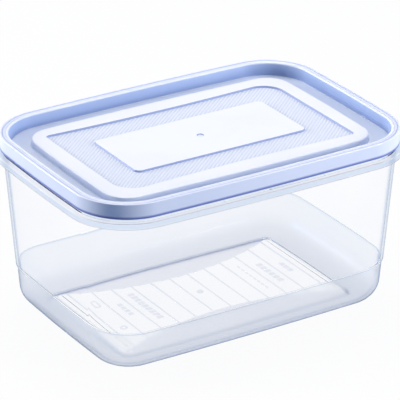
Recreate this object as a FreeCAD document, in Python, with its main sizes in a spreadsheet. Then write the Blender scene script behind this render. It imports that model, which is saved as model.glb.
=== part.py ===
import FreeCAD, Part

import math
import os
import re

import Sketcher

# A two-litre food box, in millimetres: a clear tub and the translucent lid that presses onto its rim.
# +X runs along the long side, +Z is up and the origin is the middle of the base.
# Every level of the box is the same outline, the lid's skirt, moved inwards by a named inset.
# The outline is a rectangle with round corners and slightly bowed sides.

SIZES = {
    # outline of the lid's skirt
    "lid_length": 200.0,
    "lid_width": 139.4,
    "corner_radius": 31.8,
    "side_bow_radius": 2700.0,
    "end_bow_radius": 1330.0,
    # walls and lip of the tub
    "wall": 1.4,
    "wall_draft": 4.5,
    "wall_inset": 1.4,
    "ledge_height": 94.0,
    "lip_overhang": 2.8,
    "lip_drop": 3.7,
    "lip_wall": 1.2,
    "lip_round": 0.5,
    "rim_clearance": 0.25,
    # narrower band below the walls, and the base
    "step_height": 25.0,
    "step_width": 0.8,
    "base_round": 12.5,
    "foot_width": 5.3,
    # raised floor with its field of slats
    "floor_rise": 2.0,
    "floor_slope": 45.0,
    "field_margin": 4.1,
    "field_side_radius": 157.0,
    "field_corner": 3.2,
    "slat_height": 0.5,
    "slat_pitch": 11.6,
    "slat_gap": 0.9,
    "gate_diameter": 4.0,
    "gate_height": 0.4,
    # skirt and moat of the lid
    "lid_wall": 1.0,
    "skirt_gap": 1.0,
    "skirt_height": 8.5,
    "skirt_draft": 0.5,
    "skirt_round": 0.5,
    "plug_clearance": 0.9,
    "land_round": 0.5,
    "moat_depth": 7.8,
    "moat_draft": 8.0,
    # panel of the lid
    "panel_inset": 17.6,
    "panel_rise": 3.7,
    "panel_draft": 12.0,
    "panel_round": 0.6,
    "border_width": 9.4,
    "recess_depth": 1.0,
    "recess_side_radius": 1300.0,
    "recess_large_corner": 13.0,
    "recess_small_corner": 2.5,
    "plate_margin": 18.6,
    "plate_corner": 4.0,
    "plate_rise": 0.9,
    "plate_slope": 40.0,
}

doc = FreeCAD.newDocument("food_storage_container")
sheet = doc.addObject("Spreadsheet::Sheet", "Sizes")
for row, (name, value) in enumerate(SIZES.items(), start=1):
    sheet.set(f"A{row}", name)
    sheet.set(f"B{row}", str(value))
    sheet.setAlias(f"B{row}", name)
doc.recompute()


def bound(text):
    """The expression with every named size pointed at its cell of the sheet."""
    return re.sub("[a-z_]+", lambda found: f"Sizes.{found[0]}" if found[0] in SIZES else found[0], text)


def size(text):
    """The value of an expression in the named sizes, for a sketch's first guess and for finding a level."""
    return float(sheet.evalExpression(bound(text)))


# Levels above the base, as expressions in the named sizes.
SKIRT_BOTTOM = "(ledge_height + skirt_gap)"
LID_TOP = f"({SKIRT_BOTTOM} + skirt_height)"
SEAT = f"({LID_TOP} - lid_wall)"
MOAT_FLOOR = f"({LID_TOP} - moat_depth)"
PANEL_TOP = f"({MOAT_FLOOR} + panel_rise)"
SUNK_FIELD = f"({PANEL_TOP} - recess_depth)"
FLOOR_TOP = "(wall + floor_rise)"

# Insets from the skirt's outline, the same way.
MOUTH_INSET = "(wall_inset + wall)"
PLUG_INSET = f"({MOUTH_INSET} + plug_clearance)"
LAND_INSET = f"({PLUG_INSET} + lid_wall)"
BAND_INSET = "(wall_inset + (ledge_height - step_height) * tan(wall_draft) + step_width)"
FLOOR_INSET = f"({BAND_INSET} + base_round + foot_width)"
FIELD_INSET = f"({FLOOR_INSET} + field_margin)"
RECESS_INSET = "(panel_inset + border_width)"
PLATE_INSET = f"({RECESS_INSET} + plate_margin)"


def new_body(label):
    body = doc.addObject("PartDesign::Body", label)
    body.Label = label
    return body


def sketch_at(body, name, level):
    """An empty sketch on the body's XY plane, lifted to a level."""
    plane = [f for f in body.Origin.OriginFeatures if f.Role == "XY_Plane"][0]
    sketch = body.newObject("Sketcher::SketchObject", name)
    sketch.AttachmentSupport = (plane, [""])
    sketch.MapMode = "FlatFace"
    sketch.setExpression("AttachmentOffset.Base.z", bound(level))
    return sketch


def size_constraint(sketch, text, kind, *where):
    """A dimension of a sketch, tied to an expression in the named sizes."""
    index = sketch.addConstraint(Sketcher.Constraint(kind, *where, size(text)))
    sketch.setExpression(f"Constraints[{index}]", bound(text))


def arc(centre, radius, start, end):
    circle = Part.Circle(FreeCAD.Vector(*centre, 0), FreeCAD.Vector(0, 0, 1), radius)
    return Part.ArcOfCircle(circle, start, end)


def outline(body, name, level, inset):
    """The box's outline at a level, moved inwards by an inset: eight arcs, each tangent to the next."""
    half_length = f"(lid_length / 2 - ({inset}))"
    half_width = f"(lid_width / 2 - ({inset}))"
    end = f"(end_bow_radius - ({inset}))"
    side = f"(side_bow_radius - ({inset}))"
    corner = f"(corner_radius - ({inset}))"
    end_r, side_r, corner_r = size(end), size(side), size(corner)
    end_x = size(half_length) - end_r
    side_y = size(half_width) - side_r
    # The corner's centre lies at a known distance from the centres of its two neighbours.
    reach_end, reach_side = end_r - corner_r, side_r - corner_r
    apart = math.hypot(end_x, side_y)
    along = (reach_end**2 - reach_side**2 + apart**2) / (2 * apart)
    across = math.sqrt(reach_end**2 - along**2)
    corner_x = end_x + (-end_x * along - side_y * across) / apart
    corner_y = (side_y * along - end_x * across) / apart
    low = math.atan2(corner_y, corner_x - end_x)
    high = math.atan2(corner_y - side_y, corner_x)
    half = math.pi
    sketch = sketch_at(body, name, level)
    sketch.addGeometry(
        [
            arc((end_x, 0), end_r, -low, low),
            arc((corner_x, corner_y), corner_r, low, high),
            arc((0, side_y), side_r, high, half - high),
            arc((-corner_x, corner_y), corner_r, half - high, half - low),
            arc((-end_x, 0), end_r, half - low, half + low),
            arc((-corner_x, -corner_y), corner_r, half + low, half + high),
            arc((0, -side_y), side_r, half + high, 2 * half - high),
            arc((corner_x, -corner_y), corner_r, -high, -low),
        ],
        False,
    )
    east, north, west, south = 0, 2, 4, 6
    for edge in range(8):
        sketch.addConstraint(Sketcher.Constraint("Tangent", edge, 2, (edge + 1) % 8, 1))
    sketch.addConstraint(Sketcher.Constraint("PointOnObject", south, 3, -2))
    sketch.addConstraint(Sketcher.Constraint("PointOnObject", west, 3, -1))
    sketch.addConstraint(Sketcher.Constraint("Symmetric", north, 3, south, 3, -1, 1))
    sketch.addConstraint(Sketcher.Constraint("Symmetric", east, 3, west, 3, -1, 1))
    sketch.addConstraint(Sketcher.Constraint("Equal", north, south))
    sketch.addConstraint(Sketcher.Constraint("Equal", east, west))
    for edge in (3, 5, 7):
        sketch.addConstraint(Sketcher.Constraint("Equal", 1, edge))
    size_constraint(sketch, corner, "Radius", 1)
    size_constraint(sketch, side, "Radius", south)
    size_constraint(sketch, end, "Radius", west)
    size_constraint(sketch, f"{side} - {half_width}", "DistanceY", -1, 1, south, 3)
    size_constraint(sketch, f"{end} - {half_length}", "DistanceX", -1, 1, west, 3)
    return sketch


def extrude(body, kind, name, sketch, length, down=False, draft=None):
    """A Pad or Pocket of a sketch up or down; a draft makes it narrower (+) or wider (-) on its way."""
    feature = body.newObject(f"PartDesign::{kind}", name)
    feature.Profile = sketch
    feature.setExpression("Length", bound(length))
    # A Pocket runs down unless it is reversed, and a Pad up.
    feature.Reversed = down if kind == "Pad" else not down
    if draft:
        feature.setExpression("TaperAngle", bound(f"-({draft})"))
    doc.recompute()
    return feature


def round_edges(body, name, feature, radius, level, hole=False):
    """A Fillet on the edges round a feature's flat face at a level, or round the hole in that face."""
    height = size(level)
    shape = feature.Shape
    flat = [f for f in shape.Faces if max(abs(v.Z - height) for v in f.Vertexes) < 0.001][0]
    rings = [wire for wire in flat.Wires if wire.isSame(flat.OuterWire) != hole]
    chosen = [edge for ring in rings for edge in ring.Edges]
    fillet = body.newObject("PartDesign::Fillet", name)
    names = [f"Edge{n}" for n, e in enumerate(shape.Edges, start=1) if any(e.isSame(c) for c in chosen)]
    fillet.Base = (feature, names)
    fillet.setExpression("Radius", bound(radius))
    doc.recompute()
    return fillet


def repeat(body, name, feature, length, count):
    """A row of copies of a feature along the X axis of its sketch."""
    pattern = body.newObject("PartDesign::LinearPattern", name)
    pattern.Originals = [feature]
    pattern.Direction = (feature.Profile[0], ["H_Axis"])
    pattern.setExpression("Length", bound(length))
    pattern.setExpression("Occurrences", bound(count))
    body.Tip = pattern
    doc.recompute()
    return pattern


def rectangle(body, name, level, half_length, half_width, corner=None):
    """A rectangle about the middle of the box, with round corners where a radius is given."""
    sketch = sketch_at(body, name, level)
    x, y = size(half_length), size(half_width)
    r = size(corner) if corner else 0
    quarter = math.pi / 2
    corners = [(x, -y), (x, y), (-x, y), (-x, -y)]
    for n in range(4):
        here, there = corners[n], corners[(n + 1) % 4]
        along = [(b > a) - (b < a) for a, b in zip(here, there)]
        start = [a + r * d for a, d in zip(here, along)]
        end = [b - r * d for b, d in zip(there, along)]
        sketch.addGeometry(Part.LineSegment(FreeCAD.Vector(*start, 0), FreeCAD.Vector(*end, 0)), False)
    if corner:
        for n in range(4):
            cx, cy = corners[(n + 1) % 4]
            centre = (math.copysign(x - r, cx), math.copysign(y - r, cy))
            sketch.addGeometry(arc(centre, r, n * quarter, (n + 1) * quarter), False)
            sketch.addConstraint(Sketcher.Constraint("Tangent", n, 2, 4 + n, 1))
            sketch.addConstraint(Sketcher.Constraint("Tangent", 4 + n, 2, (n + 1) % 4, 1))
        for n in (5, 6, 7):
            sketch.addConstraint(Sketcher.Constraint("Equal", 4, n))
        size_constraint(sketch, corner, "Radius", 4)
    else:
        for n in range(4):
            sketch.addConstraint(Sketcher.Constraint("Coincident", n, 2, (n + 1) % 4, 1))
    for n, kind in enumerate(("Vertical", "Horizontal", "Vertical", "Horizontal")):
        sketch.addConstraint(Sketcher.Constraint(kind, n))
    sketch.addConstraint(Sketcher.Constraint("Symmetric", 0, 1, 2, 1, -1, 1))
    size_constraint(sketch, half_length, "DistanceX", -1, 1, 0, 1)
    size_constraint(sketch, half_width, "DistanceY", -1, 1, 1, 1)
    return sketch


def disc(body, name, level, diameter):
    """A circle about the middle of the box."""
    sketch = sketch_at(body, name, level)
    circle = Part.Circle(FreeCAD.Vector(0, 0, 0), FreeCAD.Vector(0, 0, 1), size(diameter) / 2)
    sketch.addGeometry(circle, False)
    sketch.addConstraint(Sketcher.Constraint("Coincident", 0, 3, -1, 1))
    size_constraint(sketch, diameter, "Diameter", 0)
    return sketch


def pinched(body, name, level, inset, side_radius, large, small):
    """A rectangle in the outline's box at an inset, whose two long sides curve inwards from its corners.

    Its corners are large where x and y have the same sign, and small at the other two.
    """
    half_length = f"lid_length / 2 - ({inset})"
    half_width = f"lid_width / 2 - ({inset})"
    centre = f"({half_width}) + sqrt(({side_radius})^2 - ({half_length})^2)"
    x, side_r, away = size(half_length), size(side_radius), size(centre)
    quarter, half = math.pi / 2, math.pi
    corners = []
    for corner_r in (size(large), size(small)):
        corner_x = x - corner_r
        reach = side_r + corner_r
        corner_y = away - math.sqrt(reach**2 - corner_x**2)
        corners.append((corner_x, corner_y, corner_r, math.asin(corner_x / reach)))
    (large_x, large_y, large_r, large_turn), (small_x, small_y, small_r, small_turn) = corners
    sketch = sketch_at(body, name, level)
    sketch.addGeometry(
        [
            Part.LineSegment(FreeCAD.Vector(x, -small_y, 0), FreeCAD.Vector(x, large_y, 0)),
            arc((large_x, large_y), large_r, 0, quarter + large_turn),
            arc((0, away), side_r, -quarter - small_turn, -quarter + large_turn),
            arc((-small_x, small_y), small_r, quarter - small_turn, half),
            Part.LineSegment(FreeCAD.Vector(-x, small_y, 0), FreeCAD.Vector(-x, -large_y, 0)),
            arc((-large_x, -large_y), large_r, half, half + quarter + large_turn),
            arc((0, -away), side_r, quarter - small_turn, quarter + large_turn),
            arc((small_x, -small_y), small_r, -quarter - small_turn, 0),
        ],
        False,
    )
    east, north, west, south = 0, 2, 4, 6
    # The long sides run the other way round from the rest, so each meets its neighbours end to end.
    joints = [(0, 2, 1, 1), (1, 2, 2, 2), (2, 1, 3, 1), (3, 2, 4, 1)]
    joints += [(4, 2, 5, 1), (5, 2, 6, 2), (6, 1, 7, 1), (7, 2, 0, 1)]
    for joint in joints:
        sketch.addConstraint(Sketcher.Constraint("Tangent", *joint))
    sketch.addConstraint(Sketcher.Constraint("Vertical", east))
    sketch.addConstraint(Sketcher.Constraint("Vertical", west))
    sketch.addConstraint(Sketcher.Constraint("PointOnObject", north, 3, -2))
    sketch.addConstraint(Sketcher.Constraint("Symmetric", north, 3, south, 3, -1, 1))
    sketch.addConstraint(Sketcher.Constraint("Equal", north, south))
    sketch.addConstraint(Sketcher.Constraint("Equal", 1, 5))
    sketch.addConstraint(Sketcher.Constraint("Equal", 3, 7))
    size_constraint(sketch, side_radius, "Radius", north)
    size_constraint(sketch, large, "Radius", 1)
    size_constraint(sketch, small, "Radius", 3)
    size_constraint(sketch, half_length, "DistanceX", -1, 1, east, 1)
    size_constraint(sketch, half_length, "DistanceX", west, 1, -1, 1)
    size_constraint(sketch, centre, "DistanceY", -1, 1, north, 3)
    return sketch


def tub_shell(tub):
    """The lip, the walls and the band as a solid block, hollowed from its mouth down to the floor."""
    wall_depth = "(ledge_height - step_height)"
    rim_height = f"({SEAT} - ledge_height)"
    lip = outline(tub, "lip_outline", "ledge_height", "-lip_overhang")
    extrude(tub, "Pad", "lip", lip, "lip_drop", down=True)
    hollow = outline(tub, "lip_hollow_outline", "ledge_height - lip_drop", "lip_wall - lip_overhang")
    hollow = extrude(tub, "Pocket", "lip_hollow", hollow, "lip_drop - lip_wall")
    round_edges(tub, "lip_edge", hollow, "lip_round", "ledge_height")
    walls = outline(tub, "wall_outline", "ledge_height", "wall_inset")
    extrude(tub, "Pad", "walls", walls, wall_depth, down=True, draft="wall_draft")
    band = outline(tub, "band_outline", "step_height", BAND_INSET)
    extrude(tub, "Pad", "band", band, "step_height", down=True, draft="wall_draft")
    rim = outline(tub, "rim_outline", "ledge_height", "lid_wall + rim_clearance")
    extrude(tub, "Pad", "rim", rim, rim_height, draft="skirt_draft")
    mouth = outline(tub, "mouth_outline", SEAT, MOUTH_INSET)
    extrude(tub, "Pocket", "mouth", mouth, rim_height, down=True)
    chamber = outline(tub, "chamber_outline", "ledge_height", MOUTH_INSET)
    extrude(tub, "Pocket", "chamber", chamber, wall_depth, down=True, draft="wall_draft")
    well = outline(tub, "well_outline", "step_height", f"{BAND_INSET} + wall")
    well = extrude(tub, "Pocket", "well", well, "step_height - wall", down=True, draft="wall_draft")
    well = round_edges(tub, "well_edge", well, "base_round - wall", "wall")
    round_edges(tub, "base_edge", well, "base_round", "0")


def tub_floor(tub):
    """The raised middle of the floor, hollow underneath, with its field of slats and the gate mark."""
    slat_top = f"{FLOOR_TOP} + slat_height"
    raised = outline(tub, "floor_outline", "wall", FLOOR_INSET)
    extrude(tub, "Pad", "raised_floor", raised, "floor_rise", draft="floor_slope")
    hollow = outline(tub, "foot_outline", "0", FLOOR_INSET)
    extrude(tub, "Pocket", "foot_hollow", hollow, "floor_rise", draft="floor_slope")
    shape = ("field_side_radius", "field_corner", "field_corner")
    field = pinched(tub, "field_outline", FLOOR_TOP, FIELD_INSET, *shape)
    extrude(tub, "Pad", "slats", field, "slat_height")
    # As many gaps as the field's length holds, half of them on each side of the middle slat.
    gaps_a_side = f"floor((lid_length / 2 - {FIELD_INSET}) / slat_pitch + 0.5)"
    gap = rectangle(tub, "gap_outline", slat_top, "slat_gap / 2", "lid_width / 2 - corner_radius")
    gap.setExpression("AttachmentOffset.Base.x", bound(f"-slat_pitch * ({gaps_a_side} - 0.5)"))
    gap = extrude(tub, "Pocket", "gap", gap, "slat_height", down=True)
    repeat(tub, "gaps", gap, f"slat_pitch * (2 * {gaps_a_side} - 1)", f"2 * {gaps_a_side}")
    gate = disc(tub, "gate_outline", slat_top, "gate_diameter")
    extrude(tub, "Pad", "gate", gate, "gate_height")


def lid_shell(lid):
    """The skirt, the land that sits on the rim, and the moat whose wall plugs the tub's mouth."""
    skirt = outline(lid, "skirt_outline", SKIRT_BOTTOM, "0")
    skirt = extrude(lid, "Pad", "skirt", skirt, "skirt_height", draft="skirt_draft")
    round_edges(lid, "skirt_edge", skirt, "skirt_round", LID_TOP)
    channel = outline(lid, "channel_outline", SKIRT_BOTTOM, "lid_wall")
    extrude(lid, "Pocket", "channel", channel, "skirt_height - lid_wall", draft="skirt_draft")
    plug = outline(lid, "plug_outline", LID_TOP, PLUG_INSET)
    extrude(lid, "Pad", "plug", plug, "moat_depth + lid_wall", down=True, draft="moat_draft")
    moat = outline(lid, "moat_outline", LID_TOP, LAND_INSET)
    moat = extrude(lid, "Pocket", "moat", moat, "moat_depth", down=True, draft="moat_draft")
    round_edges(lid, "land_edge", moat, "land_round", LID_TOP, hole=True)


def lid_panel(lid):
    """The raised panel inside the moat, with its sunk field and the flat plate in the middle of that."""
    underside = f"({PANEL_TOP} - lid_wall)"
    panel = outline(lid, "panel_outline", PANEL_TOP, "panel_inset")
    panel = extrude(lid, "Pad", "panel", panel, "panel_rise", down=True, draft="-panel_draft")
    round_edges(lid, "panel_edge", panel, "panel_round", PANEL_TOP)
    hollow = outline(lid, "hollow_outline", underside, "panel_inset + lid_wall")
    extrude(lid, "Pocket", "hollow", hollow, "panel_rise", down=True, draft="-panel_draft")
    # The field's floor is a wall's thickness wider than the recess that is cut above it.
    steps = (("Pad", "field_floor", underside, "lid_wall"), ("Pocket", "recess", PANEL_TOP, "0"))
    for kind, name, level, margin in steps:
        large, small = f"recess_large_corner + {margin}", f"recess_small_corner + {margin}"
        side = f"recess_side_radius - {margin}"
        field = pinched(lid, f"{name}_outline", level, f"{RECESS_INSET} - {margin}", side, large, small)
        extrude(lid, kind, name, field, "recess_depth", down=True)
    plate = (f"lid_length / 2 - {PLATE_INSET}", f"lid_width / 2 - {PLATE_INSET}", "plate_corner")
    raised = rectangle(lid, "plate_outline", SUNK_FIELD, *plate)
    extrude(lid, "Pad", "plate", raised, "plate_rise", draft="plate_slope")
    hollow = rectangle(lid, "plate_hollow_outline", f"{SUNK_FIELD} - lid_wall", *plate)
    extrude(lid, "Pocket", "plate_hollow", hollow, "plate_rise", draft="plate_slope")
    gate = disc(lid, "gate_outline", f"{SUNK_FIELD} + plate_rise", "gate_diameter")
    extrude(lid, "Pocket", "gate", gate, "gate_height", down=True)


def check(body):
    """Stops the build unless every object is in order and the body is one valid solid."""
    for item in doc.Objects:
        if "Invalid" in item.State or "Error" in item.State:
            raise RuntimeError(f"{item.Name}: {item.State}")
    shape = body.Shape
    if shape.isNull() or not shape.isValid() or len(shape.Solids) != 1:
        raise RuntimeError(f"{body.Label} is not one valid solid")


tub = new_body("tub")
tub_shell(tub)
tub_floor(tub)
lid = new_body("lid")
lid_shell(lid)
lid_panel(lid)
doc.recompute()
for body in (tub, lid):
    check(body)
os.makedirs("parts", exist_ok=True)
for body in (tub, lid):
    body.Shape.exportStep(f"parts/{body.Label}.step")
    print(body.Label, round(body.Shape.Volume / 1000, 1), "cm3", body.Shape.BoundBox)
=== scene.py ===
# %% [markdown]
# # A clear food box with a pale blue lid
# The real object is two mouldings: a clear tub of thin hard plastic, and a softer, milky blue lid that
# presses onto its rim. The imported solids give every size and place, so the first step loads them.
# What is modelled here must keep to the box that they fill.

import math

import bpy
from mathutils import Matrix, Vector


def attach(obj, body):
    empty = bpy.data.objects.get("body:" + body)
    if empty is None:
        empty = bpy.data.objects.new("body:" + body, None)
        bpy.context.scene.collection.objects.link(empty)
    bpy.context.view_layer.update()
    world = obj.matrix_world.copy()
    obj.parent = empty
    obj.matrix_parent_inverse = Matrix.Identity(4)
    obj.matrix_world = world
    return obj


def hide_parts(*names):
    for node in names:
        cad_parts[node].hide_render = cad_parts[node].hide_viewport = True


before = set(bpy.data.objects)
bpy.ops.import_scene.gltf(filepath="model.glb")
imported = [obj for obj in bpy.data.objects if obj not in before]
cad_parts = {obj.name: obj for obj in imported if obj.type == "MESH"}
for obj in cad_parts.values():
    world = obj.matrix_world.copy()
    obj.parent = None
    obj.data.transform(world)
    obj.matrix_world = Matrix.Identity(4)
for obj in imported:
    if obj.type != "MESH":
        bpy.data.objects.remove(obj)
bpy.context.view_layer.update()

# %% [markdown]
# These are the sizes in millimetres. Each level of the box is the outline of the lid's skirt, moved
# inwards by an inset, so a wall is drawn once, as a line through (inset, height) points, and then led
# round the box. Values that other values depend on come first.

# %% Sizes of the mouldings, in millimetres
LENGTH, WIDTH, CORNER = 200.0, 139.4, 31.8
SIDE_BOW, END_BOW = 2700.0, 1330.0
LEDGE, STEP, WALL = 94.0, 25.0, 1.4
BASE_ROUND, FOOT_WIDTH, STEP_WIDTH = 12.5, 5.3, 0.8
LIP_REACH, LIP_DROP, LIP_WALL, RIM_CLEARANCE = 2.8, 3.7, 1.2, 0.25
SKIRT_HEIGHT, MOAT_DEPTH, PANEL_RISE = 8.5, 7.8, 3.7
DRAFT = math.tan(math.radians(4.5))
SKIRT_DRAFT = math.tan(math.radians(0.5))
MOAT_DRAFT = math.tan(math.radians(8.0))
PANEL_DRAFT = math.tan(math.radians(12.0))
SKIRT_BOTTOM = LEDGE + 1.0
LID_TOP = SKIRT_BOTTOM + SKIRT_HEIGHT
LID_WALL = 1.0
SEAT = LID_TOP - LID_WALL
MOAT_FLOOR = LID_TOP - MOAT_DEPTH
PANEL_TOP = MOAT_FLOOR + PANEL_RISE
WALL_INSET, MOUTH_INSET, PANEL_INSET = 1.4, 2.8, 17.6
FLOOR_BORDER, PANEL_BORDER, RECESS_WIDTH = 4.1, 9.4, 18.6
BAND_INSET = WALL_INSET + (LEDGE - STEP) * DRAFT + STEP_WIDTH
FLOOR_INSET = BAND_INSET + BASE_ROUND + FOOT_WIDTH
FIELD_INSET = FLOOR_INSET + FLOOR_BORDER
RECESS_INSET = PANEL_INSET + PANEL_BORDER
PLATE_INSET = RECESS_INSET + RECESS_WIDTH
print("inside depth", round(SEAT - WALL, 1), "mm, floor", round(LENGTH - 2 * FLOOR_INSET, 1), "mm long")

# %% [markdown]
# In edit mode an operator acts on what is selected. These helpers select by place, so that the
# steps below read like the moves a modeller makes by hand. Lengths are given in millimetres and
# turned into metres on the way in.

# %% Helpers to start, select and draw
MM = 0.001


def spot(x, y, z):
    return Vector((x, y, z)) * MM


def start_piece(name, place):
    """A new object in edit mode that is one selected vertex: a plane with its corners merged."""
    bpy.ops.object.select_all(action="DESELECT")
    bpy.ops.mesh.primitive_plane_add(size=0.01)
    piece = bpy.context.object
    piece.name = name
    bpy.ops.object.mode_set(mode="EDIT")
    bpy.ops.mesh.select_mode(type="VERT")
    bpy.ops.mesh.merge(type="CENTER")
    bpy.ops.transform.translate(value=place)
    return piece


def start_line(place):
    """One more selected vertex in the piece that is being edited."""
    bpy.ops.mesh.select_mode(type="VERT")
    bpy.ops.mesh.select_all(action="DESELECT")
    bpy.ops.mesh.primitive_plane_add(size=0.01)
    bpy.ops.mesh.merge(type="CENTER")
    bpy.ops.transform.translate(value=place)


def draw_by(step):
    """Extrudes the selected vertex by a step."""
    bpy.ops.mesh.extrude_region_move(TRANSFORM_OT_translate={"value": step})


def turn_about(x, y, angle, steps):
    """Leads what is selected round an upright axis. Spin turns clockwise, so it is negated."""
    bpy.ops.mesh.spin(steps=steps, angle=-angle, center=spot(x, y, 0), axis=(0, 0, 1))


def choose(kind, wanted):
    """Selects the vertices, edges or faces that the test accepts, and says how many."""
    bpy.ops.mesh.select_mode(type=kind)
    bpy.ops.mesh.select_all(action="DESELECT")
    bpy.ops.object.mode_set(mode="OBJECT")
    mesh = bpy.context.object.data
    group = {"VERT": mesh.vertices, "EDGE": mesh.edges, "FACE": mesh.polygons}[kind]
    hits = [item for item in group if wanted(item)]
    for item in hits:
        item.select = True
    bpy.ops.object.mode_set(mode="EDIT")
    return len(hits)


def near(place, reach=0.00001):
    return lambda vertex: (vertex.co - place).length < reach


# %% [markdown]
# A wall's section is drawn at the middle of the box's right-hand end, in the plane y = 0. A corner
# that has a radius is then rounded with a vertex bevel, which is how a polyline gets a fillet.

# %% Draw a section with rounded corners
def draw_section(name, points):
    """A strip of edges through (inset, height, radius) points, with its corners rounded."""
    places = [spot(LENGTH / 2 - inset, 0, height) for inset, height, _ in points]
    piece = start_piece(name, places[0])
    for here, there in zip(places, places[1:]):
        draw_by(there - here)
    for n, (_, _, radius) in enumerate(points):
        if not radius:
            continue
        turn = (places[n] - places[n - 1]).angle(places[n + 1] - places[n])
        choose("VERT", near(places[n]))
        segments = max(2, round(math.degrees(turn) / 15 + radius / 2))
        trim = radius * MM * math.tan(turn / 2)
        bpy.ops.mesh.bevel(offset=trim, segments=segments, affect="VERTICES")
    return piece


# %% [markdown]
# The box's outline is eight arcs, each tangent to the next: four slightly bowed sides and four
# corners. Spinning the whole section round each arc's centre in turn gives every level its true
# parallel outline at once, which scaling an outline could not do.

# %% Work out the outline's arcs
def outline_arcs():
    """(centre, angle, steps) of each arc from the right-hand end round to itself again."""
    end_x, side_y = LENGTH / 2 - END_BOW, WIDTH / 2 - SIDE_BOW
    reach_end, reach_side = END_BOW - CORNER, SIDE_BOW - CORNER
    apart = math.hypot(end_x, side_y)
    along = (reach_end**2 - reach_side**2 + apart**2) / (2 * apart)
    across = math.sqrt(reach_end**2 - along**2)
    x = end_x + (-end_x * along - side_y * across) / apart
    y = (side_y * along - end_x * across) / apart
    low = math.atan2(y, x - end_x)
    high = math.atan2(y - side_y, x)
    corner, side = high - low, math.pi - 2 * high
    return [
        ((end_x, 0), low, 4),
        ((x, y), corner, 28),
        ((0, side_y), side, 8),
        ((-x, y), corner, 28),
        ((-end_x, 0), 2 * low, 8),
        ((-x, -y), corner, 28),
        ((0, -side_y), side, 8),
        ((x, -y), corner, 28),
        ((end_x, 0), low, 4),
    ]


def join_ends():
    """Merges the first and last points of what was drawn, which closes its seam."""
    bpy.ops.mesh.select_all(action="SELECT")
    bpy.ops.mesh.remove_doubles(threshold=0.00002)


def lead_round():
    """Spins the section round all the arcs and closes the seam."""
    bpy.ops.mesh.select_all(action="SELECT")
    for (x, y), angle, steps in outline_arcs():
        turn_about(x, y, angle, steps)
    join_ends()


print("arcs round the outline:", len(outline_arcs()))


# %% [markdown]
# The lid's sunk field and the tub's field of slats have long sides that curve inwards. Such a shape
# is drawn the same way, with one vertex that is extruded along the straight ends and spun round
# each arc's centre.

# %% Draw a rectangle with pinched sides
def draw_pinched(inset, height, side_radius, large, small):
    """Draws the closed line at a height. Corners are large where x and y have the same sign."""
    x, half_width = LENGTH / 2 - inset, WIDTH / 2 - inset
    away = half_width + math.sqrt(side_radius**2 - x**2)
    reaches = [(side_radius + r, x - r) for r in (large, small)]
    large_y, small_y = (away - math.sqrt(reach**2 - run**2) for reach, run in reaches)
    large_turn, small_turn = (math.asin(run / reach) for reach, run in reaches)
    start_line(spot(x, -small_y, height))
    for sign in (1, -1):
        draw_by(spot(0, sign * (large_y + small_y), 0))
        turn_about(sign * (x - large), sign * large_y, math.pi / 2 + large_turn, 14)
        turn_about(0, sign * away, -(large_turn + small_turn), 28)
        turn_about(-sign * (x - small), sign * small_y, math.pi / 2 + small_turn, 8)
    join_ends()


def draw_rectangle(half_length, half_width, height, radius, x=0, y=0):
    """Draws a closed rectangle with round corners about an x and y."""
    start_line(spot(x + half_length, y + radius - half_width, height))
    for n in range(4):
        run = 2 * (half_length if n % 2 else half_width) - 2 * radius
        quarter = n * math.pi / 2
        draw_by(spot(-math.sin(quarter) * run, math.cos(quarter) * run, 0))
        centre_x = x + (half_length - radius) * (1 if n in (0, 3) else -1)
        centre_y = y + (half_width - radius) * (1 if n < 2 else -1)
        turn_about(centre_x, centre_y, math.pi / 2, 4 if radius < 3 else 8)
    join_ends()


def draw_disc(x, y, height, radius):
    start_line(spot(x + radius, y, height))
    turn_about(x, y, 2 * math.pi, 24)
    join_ends()


# %% [markdown]
# Flat skins between two outlines are filled, and a closed outline becomes a face whose inset can
# rise or sink: that makes a sloped step in one move.

# %% Fill and step
def open_edges(height, within=None):
    """A test for edges that border one face or none, at a height."""
    mesh = bpy.context.object.data
    bpy.ops.object.mode_set(mode="OBJECT")
    uses = {}
    for face in mesh.polygons:
        for key in face.edge_keys:
            uses[key] = uses.get(key, 0) + 1
    bpy.ops.object.mode_set(mode="EDIT")

    def wanted(edge):
        ends = [mesh.vertices[v].co for v in edge.vertices]
        level = all(abs(end.z / MM - height) < 0.001 for end in ends)
        inside = within is None or all(within(end) for end in ends)
        return level and inside and uses.get(edge.key, 0) < 2

    return wanted


def fill_between(height):
    """Fills the flat skin between the open outlines at a height."""
    choose("EDGE", open_edges(height))
    bpy.ops.mesh.fill(use_beauty=True)


def cap(height, within=None):
    """Closes an open outline at a height with one face that looks up, and leaves it selected."""
    choose("EDGE", open_edges(height, within))
    bpy.ops.mesh.edge_face_add()
    bpy.ops.object.mode_set(mode="OBJECT")
    faces = bpy.context.object.data.polygons
    looks_down = any(face.select and face.normal.z < 0 for face in faces)
    bpy.ops.object.mode_set(mode="EDIT")
    if looks_down:
        bpy.ops.mesh.flip_normals()


def step_by(width, rise):
    bpy.ops.mesh.select_mode(type="FACE")
    bpy.ops.mesh.inset(thickness=width * MM, depth=rise * MM, use_even_offset=True)


def drop_face():
    bpy.ops.mesh.delete(type="ONLY_FACE")


# %% [markdown]
# A finished skin needs its faces turned outwards and its shading set. Small rounds are shaded
# smooth and the flat faces keep their own normals, as on a real moulding, where a flat face
# stays flat right up to the round that ends it.

# %% Finish a piece
SMOOTH_BELOW = math.radians(32)


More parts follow.
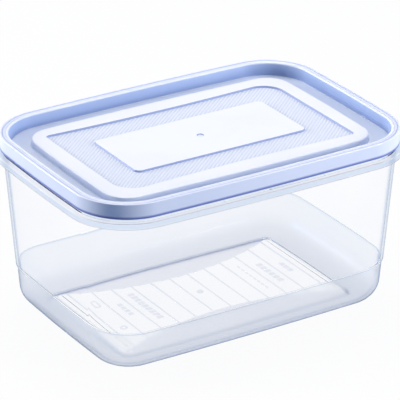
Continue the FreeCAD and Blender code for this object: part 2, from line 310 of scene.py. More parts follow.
def finish_piece(piece):
    """Faces point outwards, and shading is smooth except across sharp edges."""
    bpy.ops.mesh.select_all(action="SELECT")
    bpy.ops.mesh.normals_make_consistent(inside=False)
    bpy.ops.object.mode_set(mode="OBJECT")
    bpy.ops.object.select_all(action="DESELECT")
    piece.select_set(True)
    bpy.context.view_layer.objects.active = piece
    bpy.ops.object.shade_smooth_by_angle(angle=SMOOTH_BELOW)
    weigh = piece.modifiers.new("flat faces lead", "WEIGHTED_NORMAL")
    weigh.weight = 100
    weigh.keep_sharp = True
    bpy.ops.object.modifier_apply(modifier=weigh.name)
    spans = [round(length / MM, 2) for length in piece.dimensions]
    print(piece.name, "spans", spans, "mm with", len(piece.data.polygons), "faces")


# %% [markdown]
# The tub is one skin: up the inside of the wall, over the rim, down over the ledge and its hollow
# lip, down the outside to the step and the narrower band, round the base and in to the foot.

# %% Model the tub's wall
WELL_TAPER = (STEP - WALL) * DRAFT
RIM_INSET = LID_WALL + RIM_CLEARANCE
LIP_END = LEDGE - LIP_DROP
FLOOR_RISE = 2.0
FLOOR_TOP = WALL + FLOOR_RISE
tub_section = [
    (FLOOR_INSET + FLOOR_RISE, FLOOR_TOP, 0),
    (FLOOR_INSET, WALL, 0.5),
    (BAND_INSET + WALL + WELL_TAPER, WALL, BASE_ROUND - WALL),
    (BAND_INSET + WALL, STEP, 0.3),
    (MOUTH_INSET + (LEDGE - STEP) * DRAFT, STEP, 0.2),
    (MOUTH_INSET, LEDGE, 0),
    (MOUTH_INSET, SEAT, 0.25),
    (RIM_INSET + (SEAT - LEDGE) * SKIRT_DRAFT, SEAT, 0.25),
    (RIM_INSET, LEDGE, 0.3),
    (-LIP_REACH, LEDGE, 0.5),
    (-LIP_REACH, LIP_END, 0.3),
    (LIP_WALL - LIP_REACH, LIP_END, 0.3),
    (LIP_WALL - LIP_REACH, LEDGE - LIP_WALL, 0.3),
    (WALL_INSET + LIP_WALL * DRAFT, LEDGE - LIP_WALL, 0.5),
    (BAND_INSET - STEP_WIDTH, STEP, 0.3),
    (BAND_INSET, STEP, 0.15),
    (BAND_INSET + STEP * DRAFT, 0, BASE_ROUND),
    (FLOOR_INSET, 0, 0.4),
    (FLOOR_INSET + FLOOR_RISE, FLOOR_RISE, 0),
]
tub = draw_section("tub_clear", tub_section)
lead_round()
print("wall skin led round the box")

# %% [markdown]
# The raised floor is closed on both sides. Its field is cut into slats with bisect, and each slat
# gets its own crowned top from small insets, which leaves a shallow groove between neighbours.

# %% Model the tub's floor
PITCH, GAPS, FIELD_SIDE, FIELD_CORNER = 11.6, 12, 157.0, 3.2
CROWN_STEPS, CROWN_REACH = ((0.4, 0.28), (0.9, 0.14), (1.5, 0.08)), 3


def flat_face(height, x=None):
    """A test for wide faces that lie at a height, and about an x where one is given."""

    def wanted(face):
        level = abs(face.center.z / MM - height) < 0.001 and abs(face.normal.z) > 0.99
        about = x is None or abs(face.center.x / MM - x) < PITCH / 2
        return level and about and face.area > 200 * MM**2

    return wanted


def on_field(end):
    """True inside the slats' outline, which leaves out the edge of the raised floor round it."""
    in_length = abs(end.x / MM) < LENGTH / 2 - FIELD_INSET + 0.01
    return in_length and abs(end.y / MM) < WIDTH / 2 - FIELD_INSET + 0.01


cap(FLOOR_RISE)
draw_pinched(FIELD_INSET, FLOOR_TOP, FIELD_SIDE, FIELD_CORNER, FIELD_CORNER)
cap(FLOOR_TOP, on_field)
cuts = [(n - (GAPS - 1) / 2) * PITCH for n in range(GAPS)]
for cut in cuts:
    choose("FACE", flat_face(FLOOR_TOP))
    bpy.ops.mesh.bisect(plane_co=spot(cut, 0, 0), plane_no=(1, 0, 0))


def crowds_a_cut(vertex):
    """True for a corner of a slat that lies closer to a cut than the slat's crown reaches in."""
    level = abs(vertex.co.z / MM - FLOOR_TOP) < 0.001 and on_field(vertex.co)
    return level and any(0.01 < abs(vertex.co.x / MM - cut) < CROWN_REACH for cut in cuts)


print("corners dropped beside the cuts:", choose("VERT", crowds_a_cut))
bpy.ops.mesh.dissolve_verts()
fill_between(FLOOR_TOP)
slats = choose("FACE", flat_face(FLOOR_TOP))
slat_top = FLOOR_TOP
for width, rise in CROWN_STEPS:
    bpy.ops.mesh.inset(thickness=width * MM, depth=rise * MM, use_individual=True)
    slat_top += rise
print("slats:", slats)

# %% [markdown]
# The floor carries small moulded marks: the round gate where the plastic came in, and rows of
# low bars and rings. Each one is an outline drawn on a slat, filled and raised with an inset.

# %% Model the marks on the floor
MARK_RISE, MARK_SLOPE, MARK_RIM = 0.25, 0.15, 0.7
GATE_RADIUS, GATE_RISE = 2.0, 0.4


def raise_mark(height, within, rise, hollow=None):
    """Raises the outline inside a place as a low pad, or as a ring where the hollow has a rim width."""
    cap(height, within)
    step_by(MARK_SLOPE, rise)
    if hollow:
        step_by(hollow, 0)
        step_by(MARK_SLOPE, -rise)


def around(x, y, reach_x, reach_y):
    return lambda end: abs(end.x / MM - x) < reach_x + 0.01 and abs(end.y / MM - y) < reach_y + 0.01


def mark_slat(slat, marks):
    """Marks on one slat, each an (along, half width, half length, corner, rise, hollow)."""
    x = slat * PITCH
    choose("FACE", flat_face(slat_top, x=x))
    drop_face()
    for y, half_x, half_y, corner, _, _ in marks:
        draw_rectangle(half_x, half_y, slat_top, corner, x, y)
    fill_between(slat_top)
    for y, half_x, half_y, _, rise, hollow in marks:
        raise_mark(slat_top, around(x, y, half_x, half_y), rise, hollow)
    print("slat", slat, "carries", len(marks), "marks")


def row(count, spacing, half_x, half_y, corner, middle=0):
    """Equal low blocks in a row along a slat."""
    along = [middle + (n - (count - 1) / 2) * spacing for n in range(count)]
    return [(y, half_x, half_y, corner, MARK_RISE, None) for y in along]


mark_slat(0, [(0, GATE_RADIUS, GATE_RADIUS, GATE_RADIUS, GATE_RISE, None)])
mark_slat(-5, [(y, 2.2, half_y, 2.2, MARK_RISE, MARK_RIM) for y, half_y in ((17, 4.5), (-15, 2.2))])
mark_slat(-4, row(4, 4, 1.4, 1.4, 0.4, middle=3))
mark_slat(-3, row(9, 3.9, 1.9, 1.4, 0.4, middle=1))
mark_slat(3, row(8, 4.2, 0.5, 1.5, 0.3))
mark_slat(4, row(6, 4.4, 1.8, 1.6, 0.5))
mark_slat(5, row(3, 4.2, 1.5, 1.6, 0.4, middle=1))
finish_piece(tub)

# %% [markdown]
# The lid is one skin too. Its land, which sits on the tub's rim, is a little crowned, and its moat
# drops inside the mouth as a plug. A fine groove runs round the land near its outer edge, and a bead
# near its inner one. The panel's border ends on an open outline, above and below.

# %% Model the lid's skirt, land and moat
BORDER_END = PANEL_INSET + 5
PLUG_CLEARANCE = 0.9
PLUG = MOUTH_INSET + PLUG_CLEARANCE
LAND_END = PLUG + LID_WALL
UNDERSIDE = PANEL_TOP - LID_WALL
GROOVE_FLOOR = LID_TOP - 0.3
lid_section = [
    (BORDER_END, PANEL_TOP, 0),
    (PANEL_INSET, PANEL_TOP, 0.6),
    (PANEL_INSET - PANEL_RISE * PANEL_DRAFT, MOAT_FLOOR, 0.5),
    (LAND_END + MOAT_DEPTH * MOAT_DRAFT, MOAT_FLOOR, 0.7),
    (LAND_END, LID_TOP - 0.2, 0.4),
    (LAND_END - 0.9, LID_TOP - 0.2, 0.3),
    (LAND_END - 1.4, LID_TOP - 0.55, 0.4),
    (2.1, LID_TOP, 1.0),
    (1.8, GROOVE_FLOOR, 0.12),
    (1.4, GROOVE_FLOOR, 0.12),
    (1.1, LID_TOP - 0.02, 0.3),
    (SKIRT_HEIGHT * SKIRT_DRAFT, LID_TOP - 0.05, 0.45),
    (0, SKIRT_BOTTOM, 0.2),
    (LID_WALL, SKIRT_BOTTOM, 0.2),
    (LID_WALL + (SKIRT_HEIGHT - LID_WALL) * SKIRT_DRAFT, SEAT, 0.15),
    (PLUG + LID_WALL * MOAT_DRAFT, SEAT, 0.2),
    (PLUG + (MOAT_DEPTH + LID_WALL) * MOAT_DRAFT, MOAT_FLOOR - LID_WALL, 0.5),
    (PANEL_INSET + LID_WALL - PANEL_RISE * PANEL_DRAFT, MOAT_FLOOR - LID_WALL, 0.4),
    (PANEL_INSET + LID_WALL, UNDERSIDE, 0.3),
    (BORDER_END, UNDERSIDE, 0),
]
lid = draw_section("lid_blue", lid_section)
lead_round()
print("the land is", round(LAND_END, 2), "mm wide and the moat", MOAT_DEPTH, "mm deep")

# %% [markdown]
# The panel sinks by a sloped step into the ridged field, and rises by another to the plain plate in
# the middle. Above and below are the same moves, and below they lie one wall lower and wider.

# %% Model the lid's panel
STEP_SLOPE, RECESS, PLATE_RISE = 0.7, 1.0, 0.9
RECESS_SIDE, RECESS_LARGE, RECESS_SMALL, PLATE_CORNER = 1300, 13, 2.5, 4
GATE_SLOPE, GATE_DEPTH = 0.5, 0.4


def sink_panel(top, spread):
    """The sunk field, the raised plate and the gate mark, from an open outline at a height."""
    large, small = RECESS_LARGE + spread, RECESS_SMALL + spread
    draw_pinched(RECESS_INSET - spread, top, RECESS_SIDE - spread, large, small)
    fill_between(top)
    cap(top)
    step_by(STEP_SLOPE, -RECESS)
    drop_face()
    sunk = top - RECESS
    half_length, half_width = LENGTH / 2 - PLATE_INSET, WIDTH / 2 - PLATE_INSET
    draw_rectangle(half_length, half_width, sunk, PLATE_CORNER)
    fill_between(sunk)
    cap(sunk)
    step_by(STEP_SLOPE, PLATE_RISE)
    return sunk + PLATE_RISE


plate_top = sink_panel(PANEL_TOP, 0)
drop_face()
draw_disc(0, 0, plate_top, GATE_RADIUS)
fill_between(plate_top)
cap(plate_top)
step_by(GATE_SLOPE, -GATE_DEPTH)
sink_panel(UNDERSIDE, LID_WALL)
finish_piece(lid)

# %% [markdown]
# Each piece takes the place of one imported solid, which is hidden, and its plastic is a material of
# its own, added below, so that a later user can change the plastic without touching the shape. The lid
# is a loose piece that only rests on the rim, and nothing in the box moves on a hinge or a slide.

# %% Put the pieces in the frame
for piece, node, slot in ((tub, "tub", "clear_plastic"), (lid, "lid", "blue_plastic")):
    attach(piece, "root")
    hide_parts(node)
    print(piece.name, "stands for", node, "and takes", slot)

# %% [markdown]
# ## Finishes
# A finish is a tree of shader nodes. This small class adds a node and wires it in one line, so that
# the recipes below stay short enough to read. A fade is a soft step between two values.

# %% Materials: grow a tree of nodes
class Tree:
    """Adds nodes to one tree and wires them, with the sockets given by name."""

    def __init__(self, tree):
        self.tree = tree

    def add(self, kind, settings=None, **sockets):
        node = self.tree.nodes.new(kind)
        for name, value in (settings or {}).items():
            setattr(node, name, value)
        for name, value in sockets.items():
            self.feed(node.inputs[name.replace("_", " ")], value)
        return node

    def feed(self, socket, value):
        if isinstance(value, bpy.types.NodeSocket):
            self.tree.links.new(value, socket)
        else:
            socket.default_value = value

    def math(self, operation, *values):
        node = self.add("ShaderNodeMath", {"operation": operation})
        for socket, value in zip(node.inputs, values):
            self.feed(socket, value)
        return node.outputs[0]

    def fade(self, value, start, end):
        """0 below the start and 1 above the end, with a soft step between."""
        node = self.add("ShaderNodeMapRange", {"interpolation_type": "SMOOTHSTEP"}, Value=value)
        node.inputs["From Min"].default_value = start
        node.inputs["From Max"].default_value = end
        return node.outputs["Result"]

    def less(self, value, start, end):
        """1 below the start and 0 above the end."""
        return self.math("SUBTRACT", 1.0, self.fade(value, start, end))

    def times(self, first, second):
        return self.math("MULTIPLY", first, second)

    def within(self, value, low, low_end, high, high_end):
        """A band: 0 below low, 1 from low_end to high, and 0 again above high_end."""
        return self.times(self.fade(value, low, low_end), self.less(value, high, high_end))

    def blend(self, factor, first, second, kind="MIX"):
        node = self.add("ShaderNodeMix", {"data_type": "RGBA", "blend_type": kind}, Factor=factor)
        self.feed(node.inputs[6], first)
        self.feed(node.inputs[7], second)
        return node.outputs[2]

    def ramp(self, value, stops):
        node = self.add("ShaderNodeValToRGB")
        self.feed(node.inputs[0], value)
        elements = node.color_ramp.elements
        while len(elements) < len(stops):
            elements.new(0.5)
        for element, (place, colour) in zip(elements, stops):
            element.position = place
            element.color = screen(*colour)
        return node.outputs[0]


def new_tree(owner):
    """Empties the node tree of a material or a world, ready for its own nodes."""
    owner.use_nodes = True
    owner.node_tree.nodes.clear()
    return Tree(owner.node_tree)


# %% [markdown]
# Colours are easiest to judge as a monitor shows them, from 0 to 255, but a shader works with
# amounts of light. This helper turns the one into the other.

# %% Turn monitor colours into amounts of light
def screen(*levels):
    """The sRGB curve: straight near black, and a power above."""
    shares = [level / 255 for level in levels]
    light = [v / 12.92 if v < 0.04045 else ((v + 0.055) / 1.055) ** 2.4 for v in shares]
    return (*light, 1)


print("a pale blue of 200, 214, 244 is", [round(v, 3) for v in screen(200, 214, 244)])

# %% [markdown]
# Moulded plastic is never perfectly even. The polished steel of the mould leaves a very fine grain,
# and the melt leaves broad cloudy flow marks as it runs out from the gate. Both are noise, in two
# sizes, so one node group makes them for every finish: the flow marks shift the roughness a little
# either way, and the grain is a height for bumps.

# %% Make the moulded-skin group
def moulded_skin():
    group = bpy.data.node_groups.new("moulded skin", "ShaderNodeTree")
    defaults = {"Grain Size": 0.0009, "Flow Size": 0.035, "Roughness": 0.3, "Spread": 0.12}
    for name, value in defaults.items():
        socket = group.interface.new_socket(name, in_out="INPUT", socket_type="NodeSocketFloat")
        socket.default_value = value
    for name in ("Roughness", "Height", "Flow"):
        group.interface.new_socket(name, in_out="OUTPUT", socket_type="NodeSocketFloat")
    t = Tree(group)
    given = t.add("NodeGroupInput").outputs
    place = t.add("ShaderNodeTexCoord").outputs["Object"]
    fine = t.math("DIVIDE", 1.0, given["Grain Size"])
    wide = t.math("DIVIDE", 1.0, given["Flow Size"])
    grain = t.add("ShaderNodeTexNoise", Vector=place, Scale=fine, Detail=2.0).outputs[0]
    flow = t.add("ShaderNodeTexNoise", Vector=place, Scale=wide, Detail=3.0, Distortion=0.6).outputs[0]
    shift = t.math("MULTIPLY", t.math("SUBTRACT", flow, 0.5), given["Spread"])
    out = t.add("NodeGroupOutput").inputs
    t.feed(out["Roughness"], t.math("ADD", given["Roughness"], shift))
    t.feed(out["Height"], grain)
    t.feed(out["Flow"], t.fade(flow, 0.3, 0.7))
    return group


skin_group = moulded_skin()
print("moulded skin has", len(skin_group.nodes), "nodes")

# %% [markdown]
# The lid is milky blue, and light passes some way into it. An upright wall is seen through its whole
# depth and looks deep blue, and shade is painted on it as well. A level web is a single skin over a
# bright box and looks almost white, and a sheen is painted on it as well.
# To tell the walls of the moat from those of the panel, the finish must know how far in each point
# lies. The shape was drawn with insets, so the same insets are measured here and stored.

# %% Store the inset of every vertex
def store_inset(piece):
    end_x, side_y = LENGTH / 2 - END_BOW, WIDTH / 2 - SIDE_BOW
    (corner_x, corner_y), turn, _ = outline_arcs()[1]
    low = outline_arcs()[0][1]
    insets = []
    for vertex in piece.data.vertices:
        x, y = abs(vertex.co.x) / MM, abs(vertex.co.y) / MM
        if low < math.atan2(y - corner_y, x - corner_x) < low + turn:
            insets.append(CORNER - math.hypot(x - corner_x, y - corner_y))
        else:
            to_end, to_side = END_BOW - math.hypot(x - end_x, y), SIDE_BOW - math.hypot(x, y - side_y)
            insets.append(min(to_end, to_side))
    layer = piece.data.attributes.new("inset", "FLOAT", "POINT")
    layer.data.foreach_set("value", insets)
    print(piece.name, "insets run from", round(min(insets), 1), "to", round(max(insets), 1), "mm")


store_inset(lid)

# %% [markdown]
# The lid's colour is put together from two ramps, which hold painted sheen and shade as well as the
# plastic's own blue. Level faces take theirs from the height: the underside and the moat's floor are
# bluer, the border and the plate are painted nearly white as a sheen, and the land on top of the skirt
# is bluer again, because the skirt stands below it. Upright faces take theirs from the inset: first the
# skirt, then the deep blue wall of the moat, painted darker towards its foot as shade, then the side
# of the panel, painted paler to lift the shade that falls on it.

# %% Mix the lid's colour, with its painted sheen and shade
# Painted sheen: the border and the plate, from 99.1 to 100.5 mm up, are nearly white.
LEVEL_COLOURS_AND_SHEEN = (
    (96.2, (222, 227, 240)),
    (97.8, (240, 241, 248)),
    (98.6, (240, 241, 248)),
    (99.1, (249, 247, 250)),
    (100.5, (248, 247, 250)),
    (102.6, (231, 233, 246)),
)
# Painted shade: the moat's wall darkens from 4.3 to 5.6 mm in, towards its foot. Painted light: the
# panel's side, from 15 mm in, is paler.
UPRIGHT_COLOURS_AND_SHADE = (
    (0.0, (223, 227, 238)),
    (1.6, (223, 227, 238)),
    (4.3, (174, 191, 224)),
    (5.6, (144, 165, 210)),
    (10.0, (148, 168, 213)),
    (15.0, (226, 231, 243)),
    (19.0, (242, 244, 249)),
)
RAMP_REACH = 20.0
# Painted shade for the steps, the skirt's edge and the groove, and a painted highlight for the bead.
STEP_SHADE_COLOUR, EDGE_SHADE_COLOUR = screen(146, 161, 202), screen(104, 120, 184)
GROOVE_SHADE_COLOUR, BEAD_HIGHLIGHT_COLOUR = screen(176, 190, 232), screen(248, 249, 254)

blue = bpy.data.materials.new("milky blue plastic")
t = new_tree(blue)
place = t.add("ShaderNodeTexCoord").outputs["Object"]
height = t.math("MULTIPLY", t.add("ShaderNodeSeparateXYZ", Vector=place).outputs["Z"], 1000.0)
inset = t.add("ShaderNodeAttribute", {"attribute_name": "inset"}).outputs["Fac"]
normal = t.add("ShaderNodeNewGeometry").outputs["Normal"]
facing = t.add("ShaderNodeSeparateXYZ", Vector=normal).outputs["Z"]

levels = [((z - SKIRT_BOTTOM) / SKIRT_HEIGHT, colour) for z, colour in LEVEL_COLOURS_AND_SHEEN]
uprights = [(far / RAMP_REACH, colour) for far, colour in UPRIGHT_COLOURS_AND_SHADE]
level = t.math("DIVIDE", t.math("SUBTRACT", height, SKIRT_BOTTOM), SKIRT_HEIGHT)
level_colour_and_sheen = t.ramp(level, levels)
upright_colour_and_shade = t.ramp(t.math("DIVIDE", inset, RAMP_REACH), uprights)
lid_colour_and_light = t.blend(t.fade(facing, 0.35, 0.92), upright_colour_and_shade, level_colour_and_sheen)
print(len(levels), "colours by height and", len(uprights), "by inset")

# %% [markdown]
# Thin painted lines sharpen the shape. The small steps of the panel are painted as darker bands: shade
# on their steep faces. The skirt's lower edge is painted as a deep blue line right round the lid: shade
# in the gap above the tub's ledge. On the land the fine groove near the outer edge is painted blue as
# shade, and the bead near the inner one is painted pale as a highlight. Cloudy flow marks go over
# everything, very faintly. Each line is a mask, and a share says how much of its colour is mixed in.

# %% Add the painted shade of the steps, edge and groove, the bead's painted highlight and the flow marks
GROOVE_SHADE_SHARE, BEAD_HIGHLIGHT_SHARE, FLOW_SHARE = 0.75, 0.6, 0.1

skin = t.add("ShaderNodeGroup", {"node_tree": skin_group}).outputs
# Painted shade: the steep faces of the panel's small steps are darkened.
steps = t.times(t.fade(inset, 22.0, 24.0), t.less(facing, 0.8, 0.97))
lid_colour_and_light = t.blend(steps, lid_colour_and_light, STEP_SHADE_COLOUR)
# Painted shade: the lowest part of the skirt is darkened to a deep blue line.
edge = t.times(t.less(height, 95.6, 97.0), t.less(inset, 1.5, 2.5))
lid_colour_and_light = t.blend(edge, lid_colour_and_light, EDGE_SHADE_COLOUR)
on_land = t.fade(height, 102.4, 102.7)
# Painted shade in the land's groove near its outer edge.
painted_groove_shade = t.times(t.within(inset, 0.9, 1.3, 1.7, 2.2), on_land)
# Painted highlight on the bead near the land's inner edge.
painted_bead_highlight = t.times(t.within(inset, 3.5, 3.9, 4.8, 5.1), on_land)
lid_colour_and_light = t.blend(t.times(painted_groove_shade, GROOVE_SHADE_SHARE), lid_colour_and_light, GROOVE_SHADE_COLOUR)
lid_colour_and_light = t.blend(t.times(painted_bead_highlight, BEAD_HIGHLIGHT_SHARE), lid_colour_and_light, BEAD_HIGHLIGHT_COLOUR)
clouded = t.blend(1.0, lid_colour_and_light, screen(205, 215, 243), "MULTIPLY")
lid_colour_and_light = t.blend(t.times(skin["Flow"], FLOW_SHARE), lid_colour_and_light, clouded)
print("the lid's tree has grown to", len(t.tree.nodes), "nodes")

# %% [markdown]
# The sunk field of the lid has a grip pattern: fine parallel ridges, cut into the mould on the slant.
# A mapping node turns the object's own coordinates, and a sine wave across them gives one ridge
# every 1.86 mm. The ridges are kept to the field by its height and by how level it lies, then used
# twice: as painted shade, darker in each trough, and as a bump.

# %% Cut the slanting ridges and close the lid's material
RIDGE_PITCH, RIDGE_TURN, RIDGE_SHADE_SHARE = 1.86, 49.0, 0.8
RIDGE_RELIEF, GRAIN_RELIEF, BUMP_STRENGTH = -0.25, 0.02, 0.5

field = t.times(t.within(height, 98.2, 98.35, 98.45, 98.6), t.fade(facing, 0.8, 0.97))
turned = t.add("ShaderNodeMapping", Vector=place)
turned.inputs["Rotation"].default_value = (0, 0, math.radians(RIDGE_TURN))
turned.inputs["Scale"].default_value = [1000 / RIDGE_PITCH] * 3
across = t.add("ShaderNodeSeparateXYZ", Vector=turned.outputs[0]).outputs["X"]
wave = t.math("SINE", t.times(across, math.tau))
ridges = t.times(t.math("MULTIPLY_ADD", wave, 0.5, 0.5), field)
# Painted shade: the troughs between the ridges are darkened.
lid_colour_and_light = t.blend(t.times(ridges, RIDGE_SHADE_SHARE), lid_colour_and_light, screen(206, 213, 231))

relief = t.math("MULTIPLY_ADD", ridges, RIDGE_RELIEF, t.times(skin["Height"], GRAIN_RELIEF))
bump = t.add("ShaderNodeBump", Height=relief, Distance=MM, Strength=BUMP_STRENGTH).outputs[0]
shader = t.add("ShaderNodeBsdfPrincipled", Base_Color=lid_colour_and_light, Normal=bump)
t.feed(shader.inputs["Roughness"], skin["Roughness"])
t.add("ShaderNodeOutputMaterial", Surface=shader.outputs[0])
lid.data.materials.append(blue)
print("one ridge every", RIDGE_PITCH, "mm, turned", RIDGE_TURN, "degrees;", len(t.tree.nodes), "nodes")

# %% [markdown]
# The tub is clear, thin plastic. Seen square on, it hides nothing. Seen at a slant it gathers
# a blue-grey tint, so its outline is a fine darker line: the ramp over Facing does this. The
# plastic takes a little more red than blue from the light along its way, which Volume Absorption
# does by depth. Shadow rays and diffuse rays go straight through, because bending each of them
# through two skins would leave the inside dark and full of specks. The light is bent less than
# real plastic would bend it, which keeps the walls faint.

# %% Write the recipe for clear plastic
RIM_TINT = (
    (0.0, (255, 255, 255)),
    (0.58, (254, 254, 255)),
    (0.66, (244, 246, 251)),
    (0.74, (210, 220, 235)),
    (0.82, (152, 174, 204)),
    (1.0, (84, 116, 160)),
)
DEPTH_TINT, DEPTH_DENSITY = (0.5, 0.72, 0.95, 1), 2.5
BENDING, CLOUD_SHARE = 1.1, 0.5


def clear_plastic(name, roughness, spread, tints):
    """Makes clear plastic with a tint by height; the tints are (height in mm, colour) pairs."""
    made = bpy.data.materials.new(name)
    t = new_tree(made)
    given = {"Flow_Size": 0.05, "Roughness": roughness, "Spread": spread}
    skin = t.add("ShaderNodeGroup", {"node_tree": skin_group}, **given).outputs
    place = t.add("ShaderNodeTexCoord").outputs["Object"]
    height = t.times(t.add("ShaderNodeSeparateXYZ", Vector=place).outputs["Z"], 1000 / LEDGE)
    tint = t.ramp(height, [(z / LEDGE, colour) for z, colour in tints])
    clouded = t.blend(1.0, tint, screen(251, 252, 254), "MULTIPLY")
    tint = t.blend(t.times(skin["Flow"], CLOUD_SHARE), tint, clouded)
    slant = t.add("ShaderNodeLayerWeight", Blend=0.5).outputs["Facing"]
    tint = t.blend(1.0, tint, t.ramp(slant, RIM_TINT), "MULTIPLY")
    glass = t.add("ShaderNodeBsdfPrincipled", Base_Color=tint, IOR=BENDING, Transmission_Weight=1.0)
    t.feed(glass.inputs["Roughness"], skin["Roughness"])
    straight = t.add("ShaderNodeBsdfTransparent", Color=screen(247, 248, 250))
    ray = t.add("ShaderNodeLightPath").outputs
    through = t.math("MAXIMUM", ray["Is Shadow Ray"], ray["Is Diffuse Ray"])
    mixed = t.add("ShaderNodeMixShader", Fac=through)
    t.feed(mixed.inputs[1], glass.outputs[0])
    t.feed(mixed.inputs[2], straight.outputs[0])
    depth = t.add("ShaderNodeVolumeAbsorption", Color=DEPTH_TINT, Density=DEPTH_DENSITY)
    t.add("ShaderNodeOutputMaterial", Surface=mixed.outputs[0], Volume=depth.outputs[0])
    print(name, "has", len(t.tree.nodes), "nodes")
    return made


# %% [markdown]
# The upper walls are polished. Below the step the outside of the tub is satin, and so is its lip, so
# they scatter what lies behind them. The satin's tint is painted darker and bluer towards the bottom
# edge, as shade near the table, with a blue-grey line of painted shade just under the step. The floor
# marks and the gaps between the slats are frosted, because the tool that cut them into the mould left
# them rough, and the frost's grey tint is also painted shade in the gaps. Faces are told apart by
# their normal, their height and their place.

# %% Give the tub its three finishes
# Painted shade: the frost tint greys the gaps between the slats, and line is painted just under the
# step.
clear, frost_and_groove_shade, line = (255, 255, 255), (226, 228, 236), (176, 196, 218)
polished = clear_plastic(
    "clear plastic", roughness=0.02, spread=0.02, tints=((0, clear), (STEP, clear))
)
satin = clear_plastic(
    "satin clear plastic",
    roughness=0.36,
    spread=0.06,
    # Painted shade: the satin's tint darkens and turns bluer towards the bottom edge.
    tints=(
        (0, (208, 214, 225)),
        (2.5, (215, 220, 230)),
        (6, (232, 234, 240)),
        (12, (249, 248, 248)),
        (20, (255, 253, 250)),
        (STEP - 1.2, (255, 253, 250)),
        (STEP - 0.5, line),
        (STEP, line),
        (LEDGE - 5, (250, 251, 253)),
    ),
)
frosted = clear_plastic(
    "frosted clear plastic", roughness=0.45, spread=0.06, tints=((0, frost_and_groove_shade), (STEP, frost_and_groove_shade))
)
for finish in (polished, satin, frosted):
    tub.data.materials.append(finish)
for face in tub.data.polygons:
    x, y, z = face.center / MM
    round_the_field = abs(x) > LENGTH / 2 - FIELD_INSET or abs(y) > WIDTH / 2 - FIELD_INSET
    outwards = face.normal.x * x / LENGTH + face.normal.y * y / WIDTH
    outside = outwards > 0.02 or face.normal.z < -0.3
    on_slat_top = face.normal.z > 0.9 and z > FLOOR_TOP + 0.05
    beside_slats = FLOOR_TOP - 0.05 < z < slat_top - 0.02 and not on_slat_top
    if round_the_field:
        face.material_index = 1 if outside and not STEP - 0.1 < z < LIP_END - 0.5 else 0
    elif z > slat_top + 0.02 or beside_slats:
        face.material_index = 2
counts = [sum(face.material_index == n for face in tub.data.polygons) for n in range(3)]
print("polished, satin and frosted faces:", counts)

# %% [markdown]
# ## Studio
# The box stands on a plain white table in a white room. What the camera sees of them is white,
# directly or through the plastic or mirrored in it. What lights the box is a separate and
# calmer value, so the white never spills onto it as glare. The mask says which rays look.

# %% Lay the white table
TABLE_GLOW, TABLE_COLOUR, TABLE_BOUNCE = 0.95, (0.8, 0.8, 0.8, 1), (0.11, 0.22, 0.46, 1)
TABLE_DROP, TABLE_SIZE = 0.3, 8
WHITE = (1, 1, 1, 1)


def looking(t):
    """1 for rays that look at a thing, and 0 for rays that only gather light."""
    ray = t.add("ShaderNodeLightPath").outputs
    bent = t.math("MAXIMUM", ray["Is Glossy Ray"], ray["Is Transmission Ray"])
    return t.math("MAXIMUM", ray["Is Camera Ray"], bent)


bpy.ops.object.select_all(action="DESELECT")
bpy.ops.mesh.primitive_plane_add(size=TABLE_SIZE, location=spot(0, 0, -TABLE_DROP))
table = bpy.context.object
table.name = "table"
cloth = bpy.data.materials.new("white table")
t = new_tree(cloth)
look = looking(t)
cloth_colour = t.blend(look, TABLE_BOUNCE, TABLE_COLOUR)
mixed = t.add("ShaderNodeMixShader", Fac=t.times(look, TABLE_GLOW))
t.feed(mixed.inputs[1], t.add("ShaderNodeBsdfDiffuse", Color=cloth_colour).outputs[0])
t.feed(mixed.inputs[2], t.add("ShaderNodeEmission", Color=WHITE).outputs[0])
t.add("ShaderNodeOutputMaterial", Surface=mixed.outputs[0])
table.data.materials.append(cloth)
print("the table lies", TABLE_DROP, "mm below the box's foot")

# %% [markdown]
# The room works like the table: white to look at, and a calmer, slightly blue light to be lit by.

# %% Fill the room with soft light
ROOM_COLOUR, ROOM_STRENGTH = (0.42, 0.60, 0.95, 1), 0.26

scene = bpy.context.scene
room = bpy.data.worlds.new("white room")
scene.world = room
t = new_tree(room)
mixed = t.add("ShaderNodeMixShader", Fac=looking(t))
lights = t.add("ShaderNodeBackground", Color=ROOM_COLOUR, Strength=ROOM_STRENGTH)
shows = t.add("ShaderNodeBackground", Color=WHITE, Strength=1.0)
t.feed(mixed.inputs[1], lights.outputs[0])
t.feed(mixed.inputs[2], shows.outputs[0])
t.add("ShaderNodeOutputWorld", Surface=mixed.outputs[0])
print("the room lights the box at a strength of", ROOM_STRENGTH)

# %% [markdown]
# Three softboxes stand round the box. A low pair, one to the left and one to the right, leaves the
# near corner of the skirt darker than the faces beside it, which is what makes its curve read. The
# high one behind brightens the lid's level faces. Directions are a compass angle from the front
# and a height angle.

# %% Set up the softboxes
MIDDLE = 50


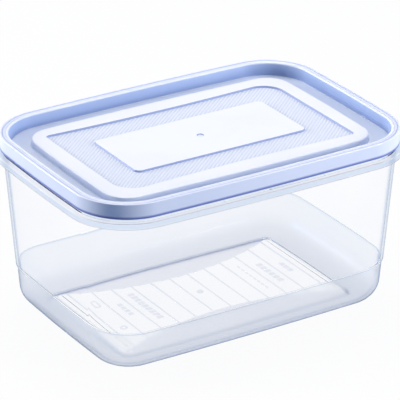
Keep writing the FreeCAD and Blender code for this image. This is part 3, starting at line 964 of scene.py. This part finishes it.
def compass(azimuth, elevation):
    """The direction towards a compass angle from the front and a height angle."""
    a, e = math.radians(azimuth), math.radians(elevation)
    return Vector((math.sin(a) * math.cos(e), -math.cos(a) * math.cos(e), math.sin(e)))


def softbox(name, azimuth, elevation, distance, size, watts):
    """A square light, its size and distance in metres, that faces the middle of the box."""
    bpy.ops.object.select_all(action="DESELECT")
    bpy.ops.object.light_add(type="AREA")
    light = bpy.context.object
    light.name = name
    light.data.size = size
    light.data.energy = watts
    toward = compass(azimuth, elevation)
    light.location = toward * distance + spot(0, 0, MIDDLE)
    light.rotation_euler = toward.to_track_quat("Z", "Y").to_euler()
    print(name, "gives", watts, "W from", distance, "m away")


softbox("left softbox", -132, 12, 1.2, 0.40, 15.5)
softbox("right softbox", 40, 14, 1.1, 0.36, 10.6)
softbox("back softbox", 148, 74, 1.4, 0.9, 11.4)

# %% [markdown]
# The camera looks down on the box from the front left with a long lens, about a metre and a half
# away, so that the far edges shrink only a little. It is turned by a small roll, and aimed a little
# above the middle of the box.

# %% Aim the camera
AZIMUTH, ELEVATION, ROLL, DISTANCE = -31.82, 25.02, math.radians(0.14), 1.51378
LENS, SENSOR, AIM_RIGHT, AIM_UP = 250.36, 36, -0.0001, -0.03146

camera_data = bpy.data.cameras.new("camera")
camera = bpy.data.objects.new("camera", camera_data)
scene.collection.objects.link(camera)
scene.camera = camera
camera_data.lens, camera_data.sensor_width = LENS, SENSOR
back = compass(AZIMUTH, ELEVATION)
right = Vector((math.cos(math.radians(AZIMUTH)), math.sin(math.radians(AZIMUTH)), 0))
up = back.cross(right)
aim = spot(0, 0, SKIRT_BOTTOM) + right * AIM_RIGHT + up * AIM_UP
eye = aim + back * DISTANCE
side = right * math.cos(ROLL) + up * math.sin(ROLL)
over = back.cross(side)
columns = zip(side, over, back, eye)
camera.matrix_world = Matrix([*(tuple(row) for row in columns), (0, 0, 0, 1)])
scene.view_settings.view_transform = "Standard"
print("the camera stands at", [round(v, 3) for v in eye])
